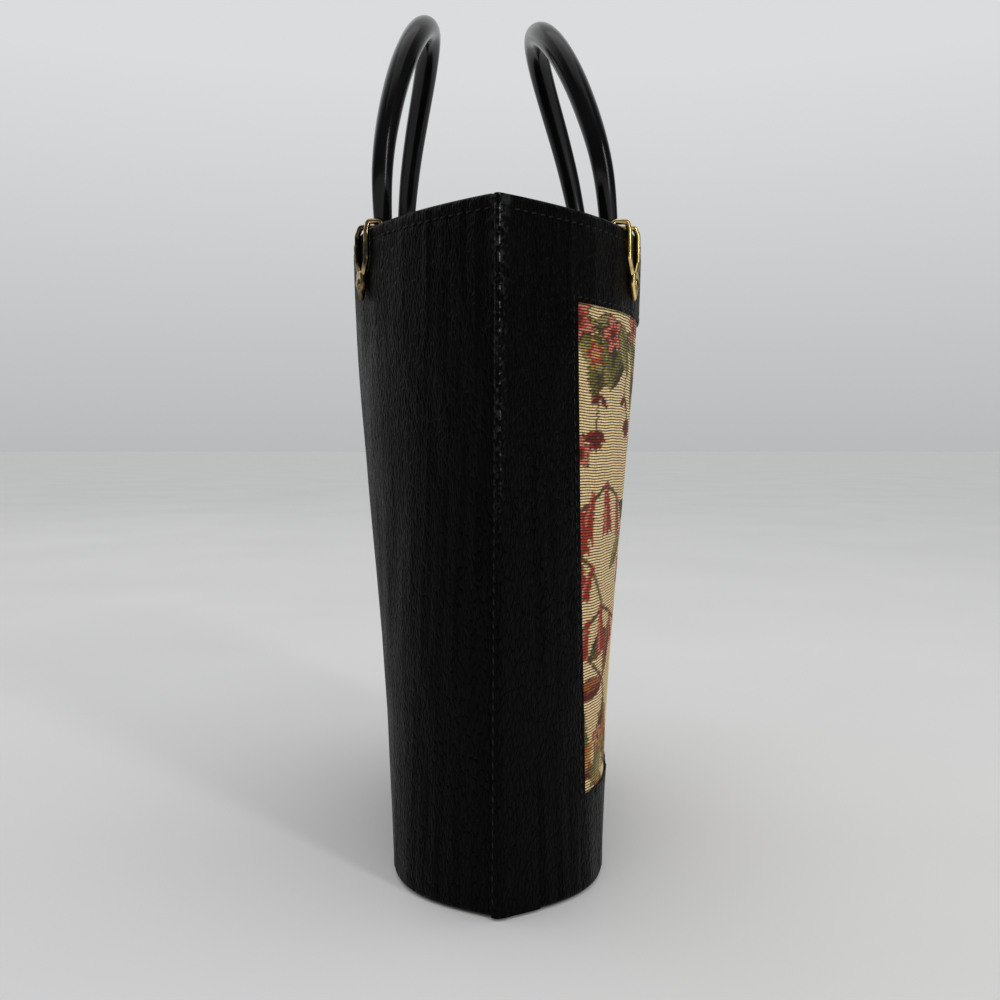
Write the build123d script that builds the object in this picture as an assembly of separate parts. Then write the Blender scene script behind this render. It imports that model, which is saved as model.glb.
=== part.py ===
from build123d import *
from math import atan, cos, pi, sin, sqrt
import os

# A tall tapestry-panel handbag. Millimetres, +Z up, origin at the middle of the base.
# X runs along the bag's length and Y across it. The tapestry is on the front, at -Y.
# Walls are drawn on the back (+Y) half, and what belongs to the front is mirrored.

# Bag body
bag_height = 300.0
rim_half_length = 130.0
rim_half_width = 73.2
rim_fullness = 2.3
base_half_length = 120.0
base_half_width = 50.6
base_fullness = 6.0
flare_bow = 1.1
outline_steps = 18

# Layers of a wall, from the outside in
layer_gap = 0.1
vinyl_thickness = 0.8
cloth_thickness = 0.6
board_thickness = 0.8
lining_thickness = 0.4

# Turned edges of the vinyl and the lapped seam at each end
hem_depth = 19.5
bottom_turn = 10.0
hem_bevel = 0.9
bottom_bevel = 0.7
lap_anchor = 0.5
lap_steps = 4

# Bottom of the bag
base_panel_inset = 1.5
base_board_thickness = 1.6

# Window in the front and the cloth behind it
window_bottom = 45.0
window_below_rim = 39.0
window_bottom_half = 94.6
window_top_half = 98.2
window_corner = 1.5
cloth_margin = 6.0
cloth_steps = 12
cloth_bands = 3

# Handle clips, one at each end of each handle
clip_spread = 56.0
bar_radius = 1.1
bar_spacing = 13.5
bar_bend = 2.0
bend_steps = 2
bar_sides = 8
clip_clearance = 0.3
bar_straight_depth = 14.0
bar_meet_depth = 20.3
bar_meet_spacing = 3.6
eye_radius = 1.6
eye_bore_clearance = 0.02
boss_depth = 24.8
boss_half_width = 4.3
boss_point = 6.8
boss_shoulder = 3.44
boss_neck = 5.5
boss_neck_half_width = 3.2
boss_thickness = 2.9
boss_bevel = 0.6

# Rivets and washers
rivet_radius = 1.2
rivet_clearance = 0.05
rivet_head_radius = 2.3
rivet_head_height = 1.0
rivet_head_bevel = 0.6
rivet_tail_radius = 2.0
rivet_tail_height = 0.5
washer_radius = 4.0
washer_thickness = 0.6
round_sides = 14

# Handles and their pins
pin_radius = 0.9
pin_running_clearance = 0.05
pivot_depth = 5.0
handle_height = 116.5
handle_shape = [(0.25, 62.5), (0.50, 56.7), (0.72, 45.8), (0.90, 28.9)]
handle_end_radius = 4.1
handle_tip = 3.9
handle_tip_bevel = 1.5
handle_top_radius = 6.1
handle_curve_radius = 289.0
handle_steps = 20
handle_sides = 12
front_handle_lean = 4.4
back_handle_lean = -2.8

# Tools that cut holes, and the stride over which a slope of the wall is taken
drill_length = 40.0
slope_step = 0.5

# Depth of each layer's outer face below the outside of the wall
front_cloth_depth = vinyl_thickness + layer_gap
front_board_depth = front_cloth_depth + cloth_thickness + layer_gap
back_board_depth = vinyl_thickness + layer_gap
board_to_lining = board_thickness + layer_gap
lining_to_flap = lining_thickness + layer_gap

# Levels of the pieces that lie on the bottom
lip_low = vinyl_thickness + layer_gap
lip_high = lip_low + vinyl_thickness
board_low = lip_high + layer_gap
lining_low = board_low + base_board_thickness + layer_gap
wall_top = bag_height - vinyl_thickness
window_top = bag_height - window_below_rim
cloth_low = window_bottom - cloth_margin
cloth_high = window_top + cloth_margin

# Heights between which the walls are flat from one station to the next
cloth_band = (cloth_high - cloth_low) / cloth_bands
cloth_heights = [cloth_low + i * cloth_band for i in range(cloth_bands + 1)]
band_heights = [0, *cloth_heights, bag_height - hem_depth, bag_height]


def between(low, high, level):
    return low + (high - low) * level


def end_stretch(half_width, fullness, half_length):
    """How much further in an inset moves the pointed end of an outline than its sides."""
    return 1.0 / sin(atan(half_width * fullness / half_length))


def half_length(level, inset):
    base_stretch = end_stretch(base_half_width, base_fullness, base_half_length)
    rim_stretch = end_stretch(rim_half_width, rim_fullness, rim_half_length)
    base = base_half_length - inset * base_stretch
    return between(base, rim_half_length - inset * rim_stretch, level)


def outline_width(share, level, inset):
    """Half width of the outline at a share of its half length; level 0 is the base, 1 the rim."""
    base = (base_half_width - inset) * (1.0 - abs(share) ** base_fullness)
    rim = (rim_half_width - inset) * (1.0 - abs(share) ** rim_fullness)
    flared = level + flare_bow * level**3 * (1.0 - level)
    return between(base, rim, flared)


def outline_point(share, z, inset):
    level = z / bag_height
    return Vector(share * half_length(level, inset), outline_width(share, level, inset), z)


def outline_points(z, inset, steps=outline_steps):
    """The middle stretch of the back half of the outline, as stations closer near the ends."""
    skipped = (outline_steps - steps) // 2
    stations = range(skipped, outline_steps - skipped + 1)
    turns = [2.0 * i / outline_steps - 1.0 for i in stations]
    return [outline_point(sin(pi / 2 * turn), z, inset) for turn in turns]


def strip(low, high):
    """Flat triangles between two lines of stations. Their slants all lean towards the ends."""
    faces = []
    for a, b, c, d in zip(low, low[1:], high[1:], high):
        corners = ((a, b, c), (a, c, d)) if abs(a.X) < abs(b.X) else ((a, b, d), (b, c, d))
        faces += [Face(Wire.make_polygon(triangle, close=True)) for triangle in corners]
    return faces


def banded_solid(sections):
    """Solid with flat triangular sides through closed outlines at successive heights."""
    ends = (sections[0], sections[-1])
    faces = [Face(Wire.make_polygon(section, close=True)) for section in ends]
    for low, high in zip(sections, sections[1:]):
        faces += strip([*low, low[0]], [*high, high[0]])
    return Solid(Shell(faces))


def wall_line(z, inset):
    """Points of the wall at one height: its stations and where it crosses the slants."""
    band = max(i for i, height in enumerate(band_heights[:-1]) if height <= z)
    z_low, z_high = band_heights[band : band + 2]
    level = (z - z_low) / (z_high - z_low)
    low = outline_points(z_low, inset)
    high = outline_points(z_high, inset)
    line = [between(low[0], high[0], level)]
    for a, b, c, d in zip(low, low[1:], high[1:], high):
        slant = (a, c) if abs(a.X) < abs(b.X) else (b, d)
        line += [between(*slant, level), between(b, c, level)]
    return line


def wall_y(x, z, inset):
    """Distance from the middle plane to a depth of the wall."""
    line = wall_line(z, inset)
    for a, b in zip(line, line[1:]):
        if a.X <= x <= b.X:
            return between(a.Y, b.Y, (x - a.X) / (b.X - a.X))


def banded(z_low, z_high):
    """The heights at which a layer between two heights has its outlines."""
    return [z_low, *[z for z in band_heights if z_low < z < z_high], z_high]


def layer_section(z, depth_out, depth_in, steps):
    inner = outline_points(z, depth_in, steps)
    return [*outline_points(z, depth_out, steps), *reversed(inner)]


def even_layer(z_low, z_high, depth_out, depth_in, steps=outline_steps):
    """A stretch of wall on the back half, between two heights and two depths."""
    heights = banded(z_low, z_high)
    return banded_solid([layer_section(z, depth_out, depth_in, steps) for z in heights])


def edge_layer(*levels):
    """A low stretch of wall whose depths change with height, for a bevelled edge."""
    return banded_solid([layer_section(*level, outline_steps) for level in levels])


def across(point):
    """The same place on the other half of the bag."""
    return Vector(point.X, -point.Y, point.Z)


def full_outline(z, inset):
    """Closed outline of the whole bag at one height."""
    back = outline_points(z, inset)
    return back + [across(point) for point in back[-2:0:-1]]


def flat_layer(z_low, z_high, inset):
    return banded_solid([full_outline(z_low, inset), full_outline(z_high, inset)])


def lap_section(z):
    """Section of the front vinyl where it wraps round the end and laps over the back."""
    flank = outline_points(z, 0)[-2]
    edge_out, crest = outline_points(z, -layer_gap - vinyl_thickness)[-2:]
    edge_in, corner = outline_points(z, -layer_gap)[-2:]
    anchor, anchor_end = outline_points(z, lap_anchor)[-2:]
    outer = Edge.make_three_point_arc(flank, crest, across(edge_out))
    rounded = [outer @ (i / lap_steps) for i in range(lap_steps + 1)]
    return [*rounded, across(edge_in), corner, anchor_end, anchor]


def seam_laps():
    lap = banded_solid([lap_section(z) for z in banded(lip_low, bag_height)])
    return [lap, lap.mirror(Plane.YZ)]


def flap_depth(board_depth):
    """Depth of the hem's inner flap, behind the board and the lining."""
    return board_depth + board_to_lining + lining_to_flap


def wall_depth(board_depth):
    return flap_depth(board_depth) + vinyl_thickness


def vinyl_skin(board_depth):
    """Vinyl of one side: turned under the bottom, up the wall, and over the rim to a flap."""
    depth = wall_depth(board_depth)
    rim = (bag_height, hem_bevel, depth - hem_bevel)
    skin = even_layer(lip_high, wall_top, 0, vinyl_thickness)
    skin += edge_layer((lip_low, bottom_bevel, bottom_turn), (lip_high, 0, bottom_turn))
    skin += edge_layer((wall_top, 0, depth), rim)
    skin += even_layer(bag_height - hem_depth, wall_top, flap_depth(board_depth), depth)
    return skin


def window_tool():
    corners = [
        (-window_bottom_half, window_bottom),
        (window_bottom_half, window_bottom),
        (window_top_half, window_top),
        (-window_top_half, window_top),
    ]
    opening = Polyline(*corners, close=True)
    opening = make_face(opening)
    opening = fillet(opening.vertices(), window_corner)
    return extrude(Plane.XZ * opening, amount=-2 * rim_half_width)


def wall_plane(x, z):
    """Plane on the outside of the back wall, its z axis pointing away from the bag."""
    step = slope_step
    across = (wall_y(x + step, z, 0) - wall_y(x - step, z, 0)) / (2 * step)
    upward = (wall_y(x, z + step, 0) - wall_y(x, z - step, 0)) / (2 * step)
    outward = Vector(-across, 1, -upward)
    return Plane(origin=(x, wall_y(x, z, 0), z), x_dir=(-1, -across, 0), z_dir=outward)


def rivet_planes():
    return [wall_plane(x, bag_height - boss_depth) for x in (-clip_spread, clip_spread)]


def round_bar(radius, length):
    """A bar about the z axis with many flat sides, drawn round the circle."""
    return extrude(RegularPolygon(radius, round_sides, major_radius=False), length / 2, both=True)


def rivet_holes():
    hole = round_bar(rivet_radius + rivet_clearance, drill_length)
    return [plane * hole for plane in rivet_planes()]


def make_front_panel():
    skin = vinyl_skin(front_board_depth) + seam_laps()
    return skin - window_tool() - rivet_holes()


def make_back_panel():
    return vinyl_skin(back_board_depth) - rivet_holes()


def make_board(board_depth):
    inner = board_depth + board_thickness
    board = even_layer(board_low, wall_top - layer_gap, board_depth, inner)
    return board - rivet_holes()


def make_lining(board_depth):
    depth = board_depth + board_to_lining
    lining = even_layer(lining_low, wall_top - layer_gap, depth, depth + lining_thickness)
    return lining - rivet_holes()


def make_cloth():
    """Plain backing of the window. Its ends lie on stations of the wall, outside the window."""
    inner = front_cloth_depth + cloth_thickness
    return even_layer(cloth_low, cloth_high, front_cloth_depth, inner, cloth_steps)


# Bottom pieces


def make_base_panel():
    return flat_layer(0, vinyl_thickness, base_panel_inset)


def make_base_board():
    inset = front_board_depth + board_to_lining
    return flat_layer(board_low, board_low + base_board_thickness, inset)


def make_base_lining():
    inset = front_board_depth + board_to_lining + lining_to_flap
    return flat_layer(lining_low, lining_low + lining_thickness, inset)


# Clips: two round bars hook over the rim and meet in a pointed boss on the outside


def pivot_y(board_depth):
    """Distance of the pin from the middle plane, so that the outermost eye clears the wall."""
    x = clip_spread + bar_spacing / 2 + bar_radius
    inner = wall_y(x, bag_height, wall_depth(board_depth))
    near, far = (wall_y(x + way * slope_step, bag_height, 0) for way in (-1, 1))
    lean = atan((near - far) / (2 * slope_step))
    return inner - (eye_radius + clip_clearance) / cos(lean)


def bar_seat(x, depth):
    """Centre of a bar that lies on the outside of the wall, below the rim by a depth."""
    plane = wall_plane(x, bag_height - depth)
    return plane.origin + plane.z_dir * (bar_radius + clip_clearance)


def bent(path):
    """The points of a bar's route, with each round corner as a few straight pieces."""
    points = []
    for edge in path.edges():
        shares = range(bend_steps) if edge.geom_type == GeomType.CIRCLE else (0,)
        points += [edge @ (share / bend_steps) for share in shares]
    return [*points, path @ 1]


def clip_bar(x_bar, x_meet, board_depth):
    pivot = pivot_y(board_depth)
    over = bag_height + bar_radius + clip_clearance
    seat = bar_seat(x_bar, bar_bend)
    route = [
        (x_bar, pivot, bag_height - pivot_depth),
        (x_bar, pivot, over),
        (x_bar, seat.Y, over),
        bar_seat(x_bar, bar_straight_depth),
        bar_seat(x_meet, bar_meet_depth),
    ]
    path = Polyline(*bent(FilletPolyline(*route, radius=bar_bend)))
    section = Plane(path @ 0, z_dir=path % 0) * RegularPolygon(bar_radius, bar_sides)
    return sweep(section, path=path, transition=Transition.RIGHT)


def boss_shape():
    """Outline of the boss: a round body, a neck towards the bars and a point at the bottom."""
    body = Circle(boss_half_width)
    drop = sqrt(boss_half_width**2 - boss_shoulder**2)
    corners = [(-boss_shoulder, -drop), (0, -boss_point), (boss_shoulder, -drop)]
    point = make_face(Polyline(*corners, close=True))
    neck = Pos(0, boss_neck / 2) * Rectangle(2 * boss_neck_half_width, boss_neck)
    return body + point + neck


def clip_boss(plane):
    boss = extrude(boss_shape(), amount=boss_thickness)
    top = boss.faces().sort_by(Axis.Z)[-1]
    boss = chamfer(top.edges(), boss_bevel)
    return plane * Pos(0, 0, clip_clearance) * boss


def clip_eye(x, board_depth):
    pivot = (x, pivot_y(board_depth), bag_height - pivot_depth)
    eye = extrude(RegularPolygon(eye_radius, bar_sides), amount=bar_radius, both=True)
    return Plane(origin=pivot, z_dir=(1, 0, 0)) * eye


def pin_hole(x, board_depth, clearance):
    pivot = (x, pivot_y(board_depth), bag_height - pivot_depth)
    hole = Cylinder(pin_radius + clearance, 2 * bar_spacing)
    return Plane(origin=pivot, z_dir=(1, 0, 0)) * hole


def make_clip(x, board_depth):
    plane = wall_plane(x, bag_height - boss_depth)
    clip = clip_boss(plane)
    for side in (-1, 1):
        x_bar = x + side * bar_spacing / 2
        clip += clip_bar(x_bar, x + side * bar_meet_spacing / 2, board_depth)
        clip += clip_eye(x_bar, board_depth)
    clip -= plane * round_bar(rivet_radius + rivet_clearance, drill_length)
    return clip - pin_hole(x, board_depth, eye_bore_clearance)


def make_rivet(x, board_depth):
    """Bevelled head on the boss, shank through the wall and a clenched tail on the washer."""
    wall = board_depth + board_to_lining + lining_thickness
    head_seat = clip_clearance + boss_thickness
    tail_seat = -(wall + 2 * layer_gap + washer_thickness)
    head = round_bar(rivet_head_radius, rivet_head_height)
    head = chamfer(head.faces().sort_by(Axis.Z)[-1].edges(), rivet_head_bevel)
    head = Pos(0, 0, head_seat + rivet_head_height / 2) * head
    shank_length = head_seat - tail_seat
    shank = Pos(0, 0, tail_seat + shank_length / 2) * round_bar(rivet_radius, shank_length)
    tail_centre = tail_seat - rivet_tail_height / 2
    tail = Pos(0, 0, tail_centre) * round_bar(rivet_tail_radius, rivet_tail_height)
    return wall_plane(x, bag_height - boss_depth) * (head + shank + tail)


def make_washer(x, board_depth):
    wall = board_depth + board_to_lining + lining_thickness
    washer = round_bar(washer_radius, washer_thickness)
    washer -= round_bar(rivet_radius + rivet_clearance, drill_length)
    seat = -(wall + 1.5 * layer_gap + washer_thickness / 2)
    return wall_plane(x, bag_height - boss_depth) * Pos(0, 0, seat) * washer


def make_pin(x, board_depth):
    pivot = (x, pivot_y(board_depth), bag_height - pivot_depth)
    pin = Cylinder(pin_radius, bar_spacing + 2 * bar_radius)
    return Plane(origin=pivot, z_dir=(1, 0, 0)) * pin


# Handles


def half_handle_path():
    """Centre line from a pivot to the crown of an upright handle, curved a little inwards."""
    stations = [(0, clip_spread)]
    stations += [(share * handle_height, x) for share, x in handle_shape]
    stations.append((handle_height, 0))
    points = [Vector(x, -(h**2) / (2 * handle_curve_radius), h) for h, x in stations]
    return Edge.make_spline(points, tangents=[(0, 0, 1), (-1, 0, 0)])


def handle_radius(height):
    share = min(max(height / handle_height, 0), 1)
    return between(handle_end_radius, handle_top_radius, sin(pi / 2 * share))


def ring_points(plane, radius):
    """Corners of a many-sided ring, which stands in for a round section."""
    turns = [2 * pi * i / handle_sides for i in range(handle_sides)]
    return [plane.from_local_coords((radius * cos(a), radius * sin(a), 0)) for a in turns]


def handle_ring(path, share):
    centre = path @ share
    along = path % share
    thickness_way = Vector(0, 1, 0) - along * along.Y
    plane = Plane(origin=centre, x_dir=thickness_way, z_dir=along)
    return ring_points(plane, handle_radius(centre.Z))


def tip_ring(below, radius):
    plane = Plane(origin=(clip_spread, 0, -below), x_dir=(0, 1, 0), z_dir=(0, 0, 1))
    return ring_points(plane, radius)


def make_handle(board_depth, lean):
    path = half_handle_path()
    rings = [
        tip_ring(handle_tip, handle_end_radius - handle_tip_bevel),
        tip_ring(handle_tip - handle_tip_bevel, handle_end_radius),
        *[handle_ring(path, i / handle_steps) for i in range(handle_steps + 1)],
    ]
    far_rings = [[Vector(-p.X, p.Y, p.Z) for p in ring] for ring in rings[-2::-1]]
    handle = banded_solid(rings + far_rings)
    bore = Cylinder(pin_radius + pin_running_clearance, 2 * (clip_spread + bar_spacing))
    handle -= Plane.YZ * bore
    pivot = (0, pivot_y(board_depth), bag_height - pivot_depth)
    return Pos(pivot) * Rot(lean, 0, 0) * handle


def front_side(shape):
    return shape.mirror(Plane.XZ)


def save(shape, name):
    export_step(shape, f"parts/{name}.step")


def main():
    os.makedirs("parts", exist_ok=True)
    save(front_side(make_front_panel()), "front_panel")
    save(make_back_panel(), "back_panel")
    save(front_side(make_cloth()), "tapestry_panel")
    save(front_side(make_board(front_board_depth)), "front_board")
    save(make_board(back_board_depth), "back_board")
    save(front_side(make_lining(front_board_depth)), "front_lining")
    save(make_lining(back_board_depth), "back_lining")
    save(make_base_panel(), "base_panel")
    save(make_base_board(), "base_board")
    save(make_base_lining(), "base_lining")
    for hand, x in (("left", -clip_spread), ("right", clip_spread)):
        for side, depth in (("front", front_board_depth), ("back", back_board_depth)):
            pieces = {
                "clip": make_clip(x, depth),
                "clip_rivet": make_rivet(x, depth),
                "rivet_washer": make_washer(x, depth),
                "handle_pin": make_pin(x, depth),
            }
            for name, piece in pieces.items():
                placed = front_side(piece) if side == "front" else piece
                save(placed, f"{side}_{hand}_{name}")
    save(front_side(make_handle(front_board_depth, front_handle_lean)), "front_handle")
    save(make_handle(back_board_depth, back_handle_lean), "back_handle")


main()
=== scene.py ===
from math import atan, cos, hypot, pi, radians, sin

import bpy
import numpy as np
from mathutils import Matrix, Vector


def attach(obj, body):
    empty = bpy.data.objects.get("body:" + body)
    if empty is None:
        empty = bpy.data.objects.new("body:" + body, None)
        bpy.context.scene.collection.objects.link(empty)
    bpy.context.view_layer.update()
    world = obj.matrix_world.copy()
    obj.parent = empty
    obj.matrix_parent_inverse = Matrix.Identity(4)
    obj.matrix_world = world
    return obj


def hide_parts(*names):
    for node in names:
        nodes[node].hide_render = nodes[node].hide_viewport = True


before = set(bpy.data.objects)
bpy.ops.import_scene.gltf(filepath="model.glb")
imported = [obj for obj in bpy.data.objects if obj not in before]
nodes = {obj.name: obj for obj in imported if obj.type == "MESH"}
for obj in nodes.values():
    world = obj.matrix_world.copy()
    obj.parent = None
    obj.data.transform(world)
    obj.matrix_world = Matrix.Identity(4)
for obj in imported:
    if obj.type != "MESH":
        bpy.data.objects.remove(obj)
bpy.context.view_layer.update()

# Vinyl of the walls. Grained black vinyl, one sheet for each side of the bag, turned over the
# rim to a flap inside and turned in under the bottom. The front sheet has a sewn window, and
# at each end it is folded round the corner and lapped over the back sheet.

height = 0.300
rim_length, rim_width, rim_fullness = 0.130, 0.0732, 2.3
base_length, base_width, base_fullness = 0.120, 0.0506, 6.0
flare_bow = 1.1
skin_thickness, lap_thickness = 0.00072, 0.00048
hem_depth = 0.0195
hem_stitch_z = height - 0.006
fold_z = 0.0009
turn_under = 0.0095
window_low, window_high = 0.045, 0.261
window_low_half, window_high_half = 0.0946, 0.0982
window_stitch = 0.0022
wall_thickness = {"front": 0.0038, "back": 0.0031}
facing = {"front": -1.0, "back": 1.0}


def end_stretch(width, fullness, length):
    """How much further in a depth moves the pointed end of an outline than its sides."""
    return 1 / sin(atan(width * fullness / length))


base_stretch = end_stretch(base_width, base_fullness, base_length)
rim_stretch = end_stretch(rim_width, rim_fullness, rim_length)


def wall(side, share, z, depth=0.0):
    """A place on a wall: share runs from -1 to 1 between the ends, depth goes into the wall."""
    level = z / height
    flared = level + flare_bow * level**3 * (1 - level)
    base_x = base_length - depth * base_stretch
    rim_x = rim_length - depth * rim_stretch
    base_y = (base_width - depth) * (1 - abs(share) ** base_fullness)
    rim_y = (rim_width - depth) * (1 - abs(share) ** rim_fullness)
    x = share * (base_x + (rim_x - base_x) * level)
    return Vector((x, facing[side] * (base_y + (rim_y - base_y) * flared), z))


def half_length(z):
    return base_length + (rim_length - base_length) * z / height


def share_at(x, z):
    return x / half_length(z)


def window_half(z):
    level = (z - window_low) / (window_high - window_low)
    return window_low_half + (window_high_half - window_low_half) * level


def column_share(column, z):
    """Columns run to -1 and 1 at the sides of the window and to -2 and 2 at the ends of the bag."""
    side_share = share_at(window_half(z), z)
    if abs(column) <= 1:
        return column * side_share
    beyond = (abs(column) - 1) * (1 - side_share)
    return (side_share + beyond) * (1 if column > 0 else -1)


def deselect_all():
    bpy.ops.object.select_all(action="DESELECT")


def lay_grid(name, columns, rows, place):
    """A grid whose vertices are moved, one by one, to the places of its columns and rows."""
    deselect_all()
    bpy.ops.mesh.primitive_grid_add(
        x_subdivisions=len(columns) - 1, y_subdivisions=len(rows) - 1, size=1, location=(0, 0, 0)
    )
    grid = bpy.context.object
    grid.name = name
    for vertex in grid.data.vertices:
        i = round((vertex.co.x + 0.5) * (len(columns) - 1))
        j = round((vertex.co.y + 0.5) * (len(rows) - 1))
        vertex.co = place(columns[i], rows[j])
    return grid


def face_side(piece, towards):
    """Turns all faces over if those of the piece look away from a direction."""
    total = sum((polygon.normal * polygon.area for polygon in piece.data.polygons), Vector())
    if total.dot(Vector(towards)) < 0:
        piece.data.flip_normals()


def thicken(piece, thickness):
    bpy.context.view_layer.objects.active = piece
    shell = piece.modifiers.new("thickness", "SOLIDIFY")
    shell.thickness = thickness
    shell.offset = -1
    bpy.ops.object.modifier_apply(modifier=shell.name)


def smooth(piece, angle=50):
    deselect_all()
    piece.select_set(True)
    bpy.context.view_layer.objects.active = piece
    bpy.ops.object.shade_smooth_by_angle(angle=radians(angle))


def join(name, parts):
    deselect_all()
    for part in parts:
        part.select_set(True)
    bpy.context.view_layer.objects.active = parts[0]
    bpy.ops.object.join()
    bpy.context.object.name = name
    return bpy.context.object


def bell(distance, width):
    return np.exp(-((distance / width) ** 2))


def ripple(x, z):
    """Slow unevenness of the sewn walls, in metres."""
    return 0.00022 * sin(31 * x + 17 * z) * sin(23 * z + 1.3) + 0.00012 * sin(83 * x - 41 * z)


groove_depth = 0.0003
hem_groove_width, window_groove_width = 0.0012, 0.0008
hem_swell, hem_swell_width, hem_swell_drop = 0.00012, 0.002, 0.003
edge_swell, edge_swell_width = 0.0003, 0.005


def wall_relief(side, column, z):
    """How far the vinyl stands out of its plain shape at seams, edges and ripples."""
    below_hem = hem_stitch_z - z
    relief = ripple(column, z) - groove_depth * bell(below_hem, hem_groove_width)
    relief += hem_swell * bell(below_hem - hem_swell_drop, hem_swell_width)
    if side == "front":
        aside = (abs(column) - 1) * (half_length(z) - window_half(z))
        beyond = hypot(max(aside, 0), max(window_low - z, z - window_high, 0))
        relief += edge_swell * bell(beyond, edge_swell_width)
        relief -= groove_depth * bell(beyond - window_stitch, window_groove_width)
    return relief


fine_row = 0.001
flap_drops = (hem_depth, 0.015, 0.008, 0.0025)
rim_roll = ((0.0010, 0.0002), (0.0003, 0.0008))
bottom_fold = ((0.0021, 0.0001), (0.0014, 0.0004), (0.0010, 0.0010), (fold_z, 0.0025))


def wall_rows(side):
    """Height and depth of each row: inner flap, rim, outer face, bottom fold and turn-under."""
    inner = wall_thickness[side]
    flap = [(height - drop, inner) for drop in flap_drops]
    rise = [(height - drop, inner - depth) for drop, depth in rim_roll]
    fall = [(height - drop, depth) for drop, depth in reversed(rim_roll)]
    hem = [height - fine_row * step for step in range(2, 13)]
    upper = list(np.linspace(height - 0.0135, window_high + 0.006, 11))
    edge = [window_high + fine_row * step for step in range(5, -1, -1)]
    middle = list(np.linspace(window_high - 0.0025, window_low + 0.0025, 88))
    lower = [window_low - fine_row * step for step in range(6)]
    bottom = list(np.linspace(window_low - 0.007, 0.003, 18))
    outer = [(z, 0.0) for z in hem + upper + edge + middle + lower + bottom]
    rim = [*flap, *rise, (height, inner / 2), *fall]
    return [*rim, *outer, *bottom_fold, (fold_z, turn_under)]


beyond_window = list(np.linspace(1, 2, 25))
wall_columns = [-c for c in reversed(beyond_window)]
wall_columns += list(np.linspace(-1, 1, 65))[1:-1] + beyond_window
dip_depth, dip_width, dip_band = 0.0010, 0.011, 0.0035


def end_dip(share, z):
    """The rim of each wall drops a little where it meets the other at the pointed ends."""
    level = max(z - height + dip_band, 0) / dip_band
    return dip_depth * bell(abs(share) - 1, dip_width) * level


def make_wall(side):
    def place(column, row):
        z, depth = row
        share = column_share(column, z)
        relief = wall_relief(side, column, z) if depth == 0.0 else 0.0
        point = wall(side, share, z, depth - relief)
        point.z -= end_dip(share, z)
        return point

    skin = lay_grid(f"{side}_vinyl", wall_columns, wall_rows(side), place)
    face_side(skin, (0, facing[side], 0))
    return skin


def cut_window(skin):
    """Deletes the faces of the window, whose sides and ends lie on columns and rows."""
    bpy.context.view_layer.objects.active = skin
    bpy.ops.object.mode_set(mode="EDIT")
    bpy.ops.mesh.select_mode(type="FACE")
    bpy.ops.mesh.select_all(action="DESELECT")
    bpy.ops.object.mode_set(mode="OBJECT")
    for polygon in skin.data.polygons:
        x, y, z = polygon.center
        polygon.select = window_low < z < window_high and abs(x) < window_half(z)
    bpy.ops.object.mode_set(mode="EDIT")
    bpy.ops.mesh.delete(type="FACE")
    bpy.ops.object.mode_set(mode="OBJECT")


lap_start_share, lap_turn_share, lap_edge_share = 0.93, 0.980, 0.9885
lap_start_rise, lap_turn_rise, lap_edge_rise = 0.00012, 0.00052, 0.0007
lap_turn_from = 0.45
lap_rows = [0.0011, 0.0020] + list(np.linspace(0.004, height - 0.002, 148)) + [height - 0.0008]
lap_columns = list(np.linspace(0, 1, 22))


def arc_point(a, b, c, turn):
    """A place on the round curve through three points, in plan; turn runs from 0 to 1."""
    control = 2 * b - (a + c) / 2
    return a * (1 - turn) ** 2 + 2 * control * turn * (1 - turn) + c * turn**2


def lap_place(hand, column, z):
    """From the front face over the corner of the bag to the lapped edge on the back."""
    if column < lap_turn_from:
        level = column / lap_turn_from
        share = lap_start_share + (lap_turn_share - lap_start_share) * level
        rise = lap_start_rise + (lap_turn_rise - lap_start_rise) * level
        return wall("front", hand * share, z, -rise)
    flank = wall("front", hand * lap_turn_share, z, -lap_turn_rise)
    crest = wall("front", hand, z, -lap_edge_rise)
    edge = wall("back", hand * lap_edge_share, z, -lap_edge_rise)
    turn = (column - lap_turn_from) / (1 - lap_turn_from)
    place = arc_point(flank, crest, edge, turn)
    crinkle = 0.00020 * sin(410 * z + 3 * column) * sin(173 * z) + 0.00014 * sin(1300 * z)
    place.x += hand * crinkle * sin(pi * turn)
    return place


def make_lap(hand):
    strip = lay_grid("lap", lap_columns, lap_rows, lambda c, z: lap_place(hand, c, z))
    face_side(strip, (hand, 0, 0))
    return strip


back_vinyl = make_wall("back")
front_vinyl = make_wall("front")
cut_window(front_vinyl)
laps = [make_lap(-1), make_lap(1)]
for part in (back_vinyl, front_vinyl):
    thicken(part, skin_thickness)
for part in laps:
    thicken(part, lap_thickness)
front_vinyl = join("front_vinyl", [front_vinyl, *laps])
for skin, node in ((back_vinyl, "back_panel"), (front_vinyl, "front_panel")):
    smooth(skin)
    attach(skin, "bag")
    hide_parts(node)


def feed(tree, node, inputs):
    """Sets the inputs of a node to values, or links them from sockets."""
    for socket, value in inputs.items():
        if isinstance(value, bpy.types.NodeSocket):
            tree.links.new(value, node.inputs[socket])
        else:
            node.inputs[socket].default_value = value


def add(tree, kind, inputs=None, **settings):
    """A new node with its settings and inputs."""
    node = tree.nodes.new(kind)
    for key, value in settings.items():
        setattr(node, key, value)
    feed(tree, node, inputs or {})
    return node


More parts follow.
